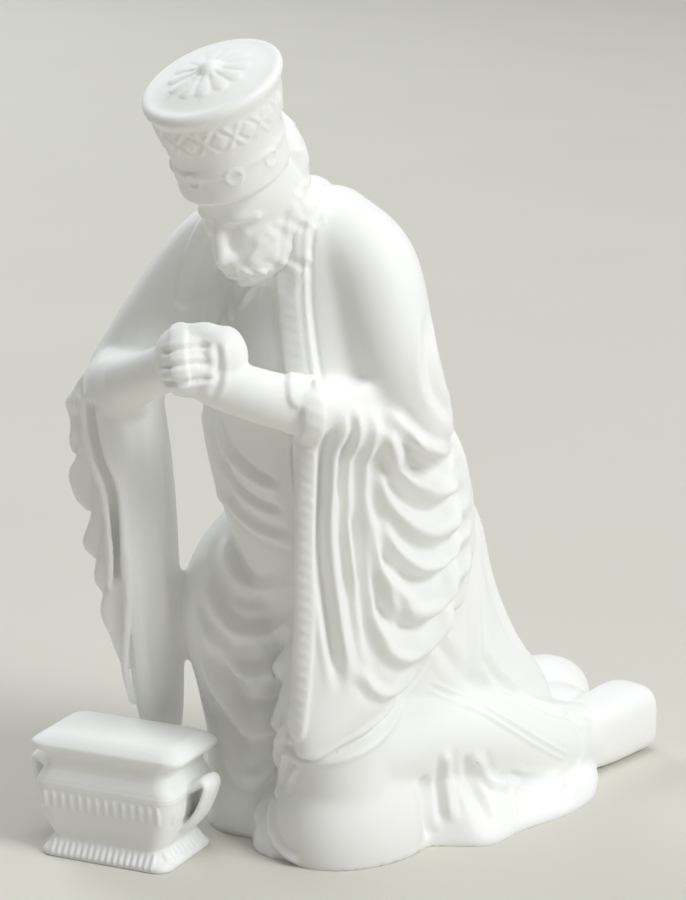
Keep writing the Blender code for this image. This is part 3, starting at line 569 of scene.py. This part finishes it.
# Bowed head with full beard and waved hair, in the head's own frame, where the front is at -y
limb([(0, -15, 73, 5.4), (0, -18.6, 79, 5)])
limb([(-5, -18.8, 78.6, 1.4), (-4, -15, 81.4, 1.7), (0, -13, 83.2, 2), (4, -15, 82.2, 1.8),
      (5.4, -18.8, 79.6, 1.4)])
ball((0, 0, 2), (6, 7, 7), head_frame)
ball((0, -2, -2.2), (5.2, 4.9, 5.4), head_frame)
ball((0, -2.6, -4.4), (5, 4.8, 4.4), head_frame)
ball((0, -3.7, -6.1), (3.8, 3.7, 3.1), head_frame)
ball((0, 4.1, 3.6), (5.4, 3.9, 6.6), head_frame)
ball((0, 2.9, -2.2), (5, 3.6, 4.2), head_frame)
for side in (-1, 1):
    ball((side * 4.6, 0.6, -0.8), (1.1, 2.8, 3.6), head_frame)
    ball((side * 2.2, -5.4, -0.9), (1.3, 0.9, 0.75), head_frame)
    ball((side * 2.9, -4.3, -2.7), (1.8, 1.5, 1.6), head_frame)
    limb([(side * 0.7, -6.3, 0.9, 0.65), (side * 2.6, -6, 1.3, 0.7), (side * 4.4, -4.6, 0.9, 0.6)],
         head_frame)
    limb([(side * 0.4, -7.3, -5, 0.6), (side * 1.8, -6.9, -5.4, 0.65), (side * 3.5, -5.7, -6.5, 0.4)],
         head_frame)
    ball((side * 0.85, -7.3, -3.7), (0.75, 0.9, 0.7), head_frame)
limb([(0, -6.5, 0.6, 0.75), (0, -7.5, -1.6, 0.85), (0, -8, -3.5, 1.05)], head_frame)
limb([(-1.3, -6.7, -6.7, 0.4), (0, -7.2, -6.6, 0.5), (1.3, -6.7, -6.7, 0.4)], head_frame)

# Tall round hat: brim band, ring moulding, a crown that widens upwards, and a thin domed disc with a knob
HAT_TIP = 3.5
HAT = [(4.2, 6), (4.4, 6.5), (4.7, 6.85), (5.1, 6.9), (7.6, 6.85), (7.75, 6.9), (7.95, 7.1), (8.3, 7.2),
       (8.65, 7.1), (8.8, 6.9), (9, 6.95), (11, 7.3), (14, 7.9), (14.6, 8.05), (15.1, 8.35), (15.5, 8.6),
       (15.9, 8.7), (16.3, 8.6), (16.6, 8.3), (16.7, 7.8), (16.6, 7.3), (16.75, 6.6), (17.15, 5.2),
       (17.5, 3.4), (17.65, 1.7), (17.95, 1.4), (18.4, 1), (18.65, 0.5)]
tip = math.radians(HAT_TIP)
loft([[head_frame @ place for place in
       oval(at(0, 0.105 * (z - 16.2) - 0.5, z), Vector((r, 0, 0)) * SHARE,
            Vector((0, math.cos(tip), math.sin(tip))) * r * SHARE, 72)]
      for z, r in HAT])

details = take_clay("details")
bpy.data.objects.remove(round_lump)
figure = fuse([cloth, details], "kneeling_wise_man", CLAY_GRAIN * SHARE, CLAY_SOFTENING)


class Carving:
    """Folds and marks raised and sunk on a skin, gathered as one height for each vertex, in hundredths."""

    def __init__(self, mesh):
        self.mesh = mesh
        count = len(mesh.vertices)
        self.places = np.empty(count * 3)
        self.normals = np.empty(count * 3)
        mesh.vertices.foreach_get("co", self.places)
        mesh.vertex_normals.foreach_get("vector", self.normals)
        self.places = self.places.reshape(-1, 3) / SHARE
        self.normals = self.normals.reshape(-1, 3)
        self.heights = np.zeros(count)
        skin = bmesh.new()
        skin.from_mesh(mesh)
        bmesh.ops.scale(skin, vec=Vector((1, 1, 1)) / SHARE, verts=skin.verts)
        self.tree = BVHTree.FromBMesh(skin)
        skin.free()

    def trace(self, bearing, pairs, start=90):
        """Drops a line drawn on a side view, as pairs of across and up, onto the skin seen from there. The
        bearing is 0 from the front, 90 from his left side, 180 from behind and -90 from his right side."""
        turn = math.radians(bearing)
        right = Vector((math.cos(turn), math.sin(turn), 0))
        back = Vector((math.sin(turn), -math.cos(turn), 0))
        found = []
        for across, up in pairs:
            place = right * across + Vector((0, 0, up)) + back * start
            spot, normal, _, _ = self.tree.ray_cast(place, -back)
            if spot is not None:
                found.append((np.array(spot), np.array(normal)))
        return found

    def near(self, route, reach):
        """Vertices within reach of a route: their distance, signed side, and way along it in hundredths."""
        spots = np.array([spot for spot, _ in route])
        low, high = spots.min(0) - reach, spots.max(0) + reach
        chosen = np.flatnonzero(((self.places > low) & (self.places < high)).all(1))
        places, normals = self.places[chosen], self.normals[chosen]
        best = np.full(len(chosen), 1e3)
        side = np.zeros(len(chosen))
        run = np.zeros(len(chosen))
        length = 0.0
        for i in range(len(route) - 1):
            start, way = spots[i], spots[i + 1] - spots[i]
            stride = max(np.linalg.norm(way), 1e-9)
            t = np.clip((places - start) @ way / stride ** 2, 0, 1)
            offset = places - start - t[:, None] * way
            gap = np.linalg.norm(offset, axis=1)
            closer = (gap < best) & (normals @ route[i][1] > 0.1)
            best[closer] = gap[closer]
            side[closer] = np.sign(offset[closer] @ np.cross(way, route[i][1]))
            run[closer] = length + t[closer] * stride
            length += stride
        inside = best < reach
        return chosen[inside], best[inside], side[inside], run[inside], length

    def fold(self, route, width, height, fade):
        """Round ridge with a soft hollow along both sides; a negative height turns it into a crease."""
        if len(route) < 2:
            return
        chosen, gap, _, run, length = self.near(route, 2.4 * width)
        ridge = np.exp(-2 * (gap / width) ** 2)
        hollow = np.exp(-((gap - 1.5 * width) / (0.6 * width)) ** 2)
        ends = np.clip(np.minimum(run, length - run) / max(fade * length, 1e-3), 0, 1)
        self.heights[chosen] += height * (ridge - 0.35 * hollow) * ends * ends * (3 - 2 * ends)

    def band(self, route, width, height, pitch, slant, mark):
        """Flat raised trim of even width, with slanting dashes along it at the given pitch."""
        if len(route) < 2:
            return
        chosen, gap, side, run, _ = self.near(route, 0.75 * width)
        flat = np.clip((0.6 * width - gap) / (0.16 * width), 0, 1)
        flat = flat * flat * (3 - 2 * flat)
        top = np.maximum(self.heights[chosen], height)
        wave = np.cos(math.tau * (run + slant * gap * side) / pitch)
        inner = np.clip((0.4 * width - gap) / (0.1 * width), 0, 1)
        top = top + mark * np.clip(wave, -0.3, 1) * inner
        self.heights[chosen] = top * flat + self.heights[chosen] * (1 - flat)

    def press(self):
        """Moves the skin out and in by the gathered heights."""
        moved = (self.places + self.normals * self.heights[:, None]) * SHARE
        self.mesh.vertices.foreach_set("co", moved.ravel())
        self.mesh.update()


def swag(start, low, end, count=9):
    """Hanging fold drawn in side view: down from a start, flat at its lowest place, up to its end."""
    down = [(start[0] + (low[0] - start[0]) * t, low[1] + (start[1] - low[1]) * (1 - t) ** 2.2)
            for t in np.linspace(0, 1, count)]
    up = [(low[0] + (end[0] - low[0]) * t, low[1] + (end[1] - low[1]) * t ** 2.2)
          for t in np.linspace(0, 1, count)[1:]]
    return down + up


def line(*places):
    """Smooth line through a few places of a side view."""
    return smooth_rows(places, 6)


def between(first, last, count):
    """Rows of numbers that pass evenly from the first row to the last."""
    first, last = np.array(first, float), np.array(last, float)
    return [first + (last - first) * i / max(count - 1, 1) for i in range(count)]


carving = Carving(figure.data)


def fold(bearing, places, width, height, fade=0.18, start=90):
    """A fold or a crease along a line drawn on a side view."""
    carving.fold(carving.trace(bearing, places, start), width, height, fade)


def band(bearing, places, width, height, pitch, slant, mark):
    """A marked trim along a line drawn on a side view."""
    carving.band(carving.trace(bearing, places), width, height, pitch, slant, mark)


# Left sleeve: pleats behind the trim, swags that hang from the crook of the arm, and its open edge
for places, width, height in (
        (((-24.5, 59.5), (-24.3, 50), (-24, 42), (-22.6, 33), (-20.6, 23)), 0.8, -0.9),
        (((-23.4, 61), (-23.1, 50), (-22.6, 42), (-21, 32), (-19, 24)), 0.9, 0.75),
        (((-22.6, 60), (-22.4, 54), (-22.6, 48)), 0.5, -0.45),
        (((-21.7, 60.8), (-21.5, 50), (-20.8, 42), (-19.4, 35)), 0.8, 0.7),
        (((-20.9, 48), (-20, 43), (-19, 37), (-17.4, 29)), 0.8, -0.9),
        (((-20.2, 60.4), (-19.5, 50), (-17.6, 42), (-14.6, 33), (-12, 28)), 0.9, 0.8),
        (((-18.3, 59.8), (-16.6, 57), (-14.6, 55), (-11.4, 53.6), (-8.2, 53.2), (-6.6, 53.8)), 1, 0.65),
        (((-19.4, 58.4), (-17.4, 54.6), (-15, 51.4), (-12, 49), (-9, 47.8), (-5.8, 48), (-3.8, 49.4)), 1.3,
         0.95),
        (((-18.6, 53.4), (-16.6, 48.4), (-13.4, 44.6), (-9.8, 42.6), (-6, 43), (-3.4, 45), (-2.2, 46.4)), 1.4,
         1),
        (((-17.6, 46.4), (-14.8, 41.6), (-11, 38.6), (-7, 38.4), (-3.4, 40.6), (-1.6, 43)), 1.1, 0.8),
        (((-16.6, 40.6), (-13.6, 35), (-10.4, 32.6), (-6.6, 33.2), (-3, 36.4), (-1.2, 39.2)), 1.5, 1.05),
        (((-17.6, 33.6), (-14.6, 28.4), (-11, 26.6), (-7, 27.8), (-3.8, 30.8), (-1.8, 33.6)), 1.3, 0.95),
        (((-19, 27), (-15.6, 23), (-12, 22.6), (-9.4, 24.6), (-7, 27)), 1, 0.6)):
    fold(90, line(*places), width, height)
for low in ((-9.6, 50.4), (-9.2, 45.2), (-9.2, 36), (-9.4, 29.8)):
    fold(90, swag((low[0] - 8, low[1] + 6), low, (low[0] + 4.5, low[1] + 3)), 1.1, -0.75)
band(60, line((-16.6, 62.4), (-16.8, 52), (-16.9, 42), (-16.8, 32), (-17.2, 19)), 2.4, 0.5, 1.5, 0.35, 0.07)
fold(0, line((7.4, 57.4), (7, 38), (6.4, 18)), 0.6, -1.1, 0.06)
fold(90, line((1, 36), (-3.8, 26), (-8, 20.6), (-15, 17.4), (-22.6, 14.6)), 0.8, -1.1, 0.1)
fold(60, line((2.6, 67), (3, 62.6), (5, 60), (8, 58.6)), 1, 0.5)
fold(75, line((-7.6, 71), (-8.2, 64), (-6.6, 60), (-3.4, 57.4)), 1.2, -0.5)

# Right sleeve: the shaded gap between its lips, the smooth inner face with a beaded border, and folds outside
fold(41, line((-35.1, 58.6), (-35, 56), (-34.2, 51.4), (-32.9, 47.6), (-32.4, 43.6), (-32.2, 39),
              (-32.4, 34.8)), 0.75, -1.3, 0.06)
band(41, line((-31.2, 38), (-30.4, 30), (-29.8, 22), (-29.7, 18)), 2, 0.22, 1.4, 0.3, 0.06)
fold(41, line((-29.2, 60), (-28.8, 52), (-28, 44), (-27.2, 34), (-26.6, 22)), 1.6, 0.35)
fold(41, line((-27, 52), (-26.4, 46), (-26.2, 40)), 0.8, -0.4)
for start, low, end in (((32, 58), (26.4, 52), (23.8, 54)), ((31, 50), (26.6, 44), (22.8, 47)),
                        ((29, 41.6), (25, 36), (22, 39)), ((27, 33.6), (23.6, 28), (20.8, 31)),
                        ((25.6, 26.4), (22.6, 21), (20.4, 24))):
    fold(-90, swag(start, low, end), 1.3, 0.8)

# Chest: broad lapels from behind the neck, the crossed neck of the inner robe and its pleats
LEFT_LAPEL = [(-8.3, 86.3), (-9.6, 83), (-10.5, 79.9), (-10.8, 76.4), (-10.8, 72), (-10.2, 66.6),
              (-9.5, 61.9)]
band(41, line(*LEFT_LAPEL), 3.2, 0.55, 1.5, 0.5, 0.04)
fold(41, [(across + 1.9, up) for across, up in line(*LEFT_LAPEL)], 0.42, 0.5, 0.05)
band(41, line((-20.4, 80.6), (-22, 77.4), (-23.3, 73.5), (-23.8, 70), (-23.8, 67), (-23.4, 64)), 2.1, 0.4,
     1.4, -0.3, 0.04)
fold(0, line((1, 75), (-1, 71.6), (-3.2, 69)), 0.5, 0.55, start=26)
fold(0, line((-4.4, 72), (-3.6, 69.6), (-3.2, 68)), 0.5, 0.45, start=26)
for places, width, height in (
        (((-6.4, 73), (-6, 68), (-5, 62)), 1.1, 0.6), (((-4.6, 70), (-4.4, 66), (-3.2, 61)), 0.8, 0.55),
        (((-1.6, 68), (-1, 63), (-0.6, 58)), 0.6, 0.45), (((0.6, 68), (1.4, 63), (2, 58)), 0.6, 0.45),
        (((2.4, 70), (2.8, 64), (3.4, 58)), 0.5, -0.4),
        (((-8.3, 58), (-7, 53), (-5.8, 48), (-5.4, 44)), 1.4, 0.8),
        (((-6.2, 57.4), (-4, 53.4), (0, 50.3), (5, 48.3)), 0.9, 0.8),
        (((-5.4, 52), (-2.7, 49), (1, 47), (5, 46)), 0.8, -0.6),
        (((-6, 47), (-3, 44.4), (1, 42.6), (5, 42)), 1, 0.6)):
    fold(0, line(*places), width, height, start=30)

# Front of the skirts: cloth that hangs in deep curves between the knees, over the right shin
for start, low, end, width, height in (
        ((-9, 40), (-3, 34), (3, 37), 1.3, 0.7), ((-9.6, 35), (-3.4, 28), (2.6, 32), 1.3, 0.8),
        ((-10, 31), (-4, 22.6), (2, 27), 1.3, 0.9), ((-10.4, 26), (-4.6, 14.4), (1.6, 20), 1.4, 1),
        ((-10.6, 20), (-6, 8), (-1.6, 12), 1.3, 0.8)):
    fold(0, swag(start, low, end), width, height)
fold(0, swag((-8, 28), (-4.2, 18.4), (0.4, 23)), 1.5, -1.1)

# Back: long folds from the shoulders to the train, and the yoke across the shoulders
for x1, x2, low in between((-9, -11, 12), (9, 11, 16), 6):
    fold(180, line((-x1 * 0.8, 70), (-x1 * 1.1, 44), (-x2 * 1.1, low)), 1.5, 0.75)
fold(180, swag((-11, 76), (0, 73), (11, 76)), 0.5, -0.35)
fold(120, line((-14, 60), (-12, 44), (-10, 30), (-2, 18)), 1.2, -0.6)

# Skirts: the coat's edges over the left knee, the thin trim along the calf, and the folds of the spread hem
for places, width, height in (
        (((3, 18.6), (1, 14.6), (-1.4, 10), (-3.2, 6), (-3.6, 2)), 0.75, 0.95),
        (((3.4, 15), (1.7, 12), (0.5, 9.4), (-0.4, 6.6)), 0.5, 0.6),
        (((5, 13), (3.4, 10.6), (2.8, 8.6)), 0.5, 0.45),
        (((-1.8, 7), (0.4, 3.6), (3, 1.6), (6, 0.8)), 0.8, 0.6)):
    fold(0, line(*places), width, height, 0.1)
fold(90, line((-3.4, 21), (3.4, 17), (7.5, 14), (14, 9.6), (21, 5.4)), 0.35, 0.3, 0.08)
fold(90, line((-4, 20), (2.8, 16.1), (7, 13.1), (13.4, 8.8), (20.4, 4.8)), 0.35, 0.3, 0.08)
fold(90, line((7, 22.4), (9.6, 18.4), (15.8, 13.6), (22, 10.6), (29, 8.6)), 1, -0.7, 0.08)
for places, width, height in (
        (((-4, 13), (-3.6, 8), (-3.4, 3)), 0.9, 0.8), (((-7.4, 10), (-7.2, 5), (-6.6, 1)), 1, -0.9),
        (((-0.6, 11.6), (1.4, 6), (2, 2)), 0.9, -0.8), (((1.8, 11), (4.4, 6.6), (9, 4.4)), 0.8, 0.6),
        (((8, 6.6), (12, 4.6), (16.6, 3.6), (21, 3.4)), 0.7, -0.5),
        (((7.6, 1.4), (10, 3), (13, 4.6)), 0.8, -0.5), (((16, 1.2), (18.6, 2.6), (22, 3.2)), 0.7, -0.5)):
    fold(70, [(y * 0.94 + 5, z) for y, z in line(*places)], width, height)
for y in (-6, 4, 14, 24):
    fold(-90, line((-y, 20), (-y - 4, 1)), 1.4, 0.9)
fold(90, line((23.6, 10.6), (24.4, 7), (23.8, 3)), 0.7, -0.6)

# Fingers of the right hand, folded over the left one
for places in (((-26, 66.7), (-24.7, 67.1), (-22.9, 67.5), (-21.2, 67.8), (-19.8, 67.8)),
               ((-26.1, 65.1), (-24.7, 65.5), (-23, 65.8), (-21.2, 66), (-19.6, 66)),
               ((-25.8, 63.4), (-24.5, 63.7), (-22.6, 63.9), (-20.8, 64.1), (-19.4, 64.2))):
    fold(41, places, 0.42, -0.55, 0.15)
fold(41, line((-19.4, 68.6), (-19, 66), (-19.2, 63.4), (-20.4, 61.8)), 0.6, -0.45)

carving.press()
soften = figure.modifiers.new("soften", "SMOOTH")
soften.factor = 0.5
soften.iterations = 3
finish_modifiers(figure)

carving = Carving(figure.data)
head = np.array(head_frame.inverted() @ Matrix.Scale(SHARE, 4))
local = (carving.places @ head[:3, :3].T + head[:3, 3]) / SHARE
x, y, z = local.T
around = np.arctan2(x, -(y + 0.5))
out = np.hypot(x, y + 0.5)


def rise(value, low, high):
    """Soft step from 0 at low to 1 at high."""
    t = np.clip((value - low) / (high - low), 0, 1)
    return t * t * (3 - 2 * t)


# Beard and moustache: wavy locks that run down from the cheeks to the chin
LOCK_DEPTH = 0.12
beard_top = -5.4 + 5.4 * np.clip(np.abs(x) / 5.4, 0, 1) ** 1.5
beard = rise(beard_top - z, 0, 0.8) * rise(1.2 - y, 0, 1) * (out < 7.4) * (z > -9.6)
locks = np.cos(15 * around + 1.5 * np.sin(1.3 * z + 2.2 * around) + 0.5 * z * np.sign(x))
carving.heights += LOCK_DEPTH * beard * locks
lip = rise(1.1 - np.abs(z + 5.4 + 0.34 * np.abs(x)), 0, 0.5) * (y < -5.2)
lip = lip * (np.abs(x) < 3.9) * (np.abs(x) > 0.15)
carving.heights += LOCK_DEPTH * lip * np.cos(7.5 * np.abs(x) + 4.2 * z)

# Hair below the hat, waved from the temples round to the nape
HAIR_DEPTH = 0.13
hair = rise(y, 0.4, 1.2) * rise(5.2 - z, 0, 0.5) * rise(z, -5, -3.4) * (out < 8)
carving.heights += HAIR_DEPTH * hair * np.cos(11 * around + 1.6 * np.sin(1.25 * z + 3 * around))

# Hat: leaves between chevrons round the crown, rings round the brim band, and a petalled top
LEAF_COUNT, LEAF_HEIGHT = 14, 0.2
RING_COUNT, RING_RADIUS, RING_HEIGHT = 9, 0.95, 0.16
PETAL_COUNT, PETAL_HEIGHT = 12, 0.28
crown = rise(z, 10.7, 11) * rise(14.1 - z, 0, 0.3) * (out > 6.4)
turn_share = (around * LEAF_COUNT / math.tau) % 1 - 0.5
level = (z - 12.4) / 1.5
leaves = rise(0.85 - np.abs(turn_share) * 2.4 - np.abs(level), 0, 0.25)
chevrons = rise(0.3 - np.abs(np.abs(turn_share) * 2 + np.abs(level) * 0.6 - 1.05), 0, 0.25)
carving.heights += LEAF_HEIGHT * crown * (leaves + chevrons)
ring_turn = ((around / math.tau * RING_COUNT + 0.5) % 1 - 0.5) * math.tau / RING_COUNT * 7.35
ring_gap = np.abs(np.hypot(ring_turn, z - 7.3) - RING_RADIUS)
carving.heights += RING_HEIGHT * rise(0.34 - ring_gap, 0, 0.25) * (out > 6.4) * (z > 5.9) * (z < 8.7)
petal = np.abs(np.cos(PETAL_COUNT / 2 * around))
petal_end = 5.2 - 0.7 * (1 - petal)
carving.heights += (PETAL_HEIGHT * (petal ** 0.5 - 0.35) * rise(petal_end - out, 0, 0.35)
                    * rise(out, 1.3, 1.7) * (z > 15.5))

carving.press()

# The skin is thinned where it is flat, cut off at the table and closed with a flat underside
thin = figure.modifiers.new("thin", "DECIMATE")
thin.ratio = min(1, FIGURE_TRIANGLES / sum(len(face.vertices) - 2 for face in figure.data.polygons))
finish_modifiers(figure)
bpy.ops.object.mode_set(mode="EDIT")
bpy.ops.mesh.select_all(action="SELECT")
bpy.ops.mesh.bisect(plane_co=(0, 0, TABLE_CUT), plane_no=(0, 0, 1), use_fill=True, clear_inner=True,
                    threshold=1e-6)
bpy.ops.mesh.select_all(action="SELECT")
bpy.ops.mesh.normals_make_consistent(inside=False)
bpy.ops.object.mode_set(mode="OBJECT")
figure.data.materials.clear()
figure.data.materials.append(bisque_porcelain("bisque_porcelain_figure"))
bpy.ops.object.shade_smooth()
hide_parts("wise_man")
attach(figure, "root")
